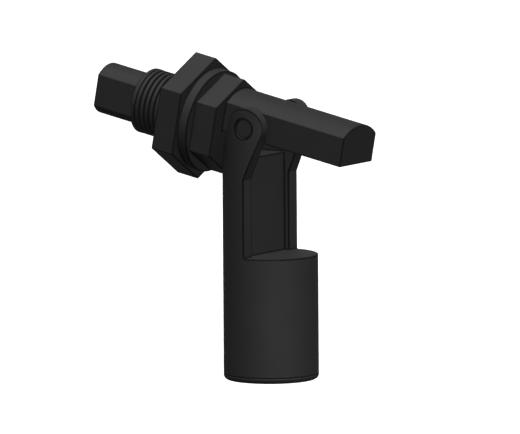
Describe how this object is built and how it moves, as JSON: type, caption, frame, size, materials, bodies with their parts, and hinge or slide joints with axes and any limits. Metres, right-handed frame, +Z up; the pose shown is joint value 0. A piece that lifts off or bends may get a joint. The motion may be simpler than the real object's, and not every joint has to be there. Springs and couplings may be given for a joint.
{
  "type": "float level switch",
  "caption": "Side-mounted float level switch: a threaded plastic housing with nut and gasket, and a hanging float that swings up with the liquid and works a sealed reed contact.",
  "frame": {"origin": "on the axis of the threaded spigot, at the sealing face of the hexagonal flange", "axes": "+X along the spigot's axis into the tank, towards the tip of the arm; +Z up; Y is parallel to the float's pivot"},
  "size_m": [0.0964, 0.0342, 0.0973],
  "materials": {
    "housing_plastic": "fine moulded matt",
    "nut_plastic": "fine moulded matt",
    "gasket_rubber": "soft matt",
    "float_plastic": "fine moulded matt",
    "cap_plastic": "fine moulded matt",
    "magnet_ferrite": "ground",
    "plug_plastic": "moulded",
    "contact_glass": "clear",
    "blade_metal": "plated",
    "sleeve_rubber": "soft matt",
    "crimp_brass": "drawn",
    "shrink_plastic": "smooth",
    "wire_copper": "drawn",
    "wire_plastic": "smooth",
    "potting_resin": "cast"
  },
  "bodies": {
    "housing": {"switch_body": "housing_plastic", "reed_glass": "contact_glass", "reed_blade_rear": "blade_metal", "reed_blade_front": "blade_metal", "reed_sleeve": "sleeve_rubber", "rear_crimp": "crimp_brass", "front_crimp": "crimp_brass", "rear_shrink_sleeve": "shrink_plastic", "front_shrink_sleeve": "shrink_plastic", "rear_lead_core": "wire_copper", "rear_lead_insulation": "wire_plastic", "return_lead_core": "wire_copper", "return_lead_insulation": "wire_plastic", "potting_plug": "potting_resin"},
    "float": {"float_shell": "float_plastic", "float_end_cap": "cap_plastic", "float_magnet": "magnet_ferrite", "magnet_plug": "plug_plastic"},
    "gasket": {"sealing_gasket": "gasket_rubber"},
    "nut": {"mounting_nut": "nut_plastic"}
  },
  "joints": [
    {"name": "float_pivot", "type": "hinge", "parent": "housing", "child": "float", "pos_m": [0.0198, 0, 0.00437], "axis": [0, -1, 0], "range_deg": [-1, 63]},
    {"name": "nut_travel", "type": "slide", "parent": "housing", "child": "gasket", "axis": [-1, 0, 0], "range_m": [0, 0.0127]},
    {"name": "nut_spin", "type": "hinge", "parent": "gasket", "child": "nut", "pos_m": [0, 0, 0], "axis": [-1, 0, 0], "range_deg": [0, 2520]}
  ],
  "couplings": [
    {"joint": "nut_travel", "follows": "nut_spin", "m_per_rad": 0.00028871}
  ]
}
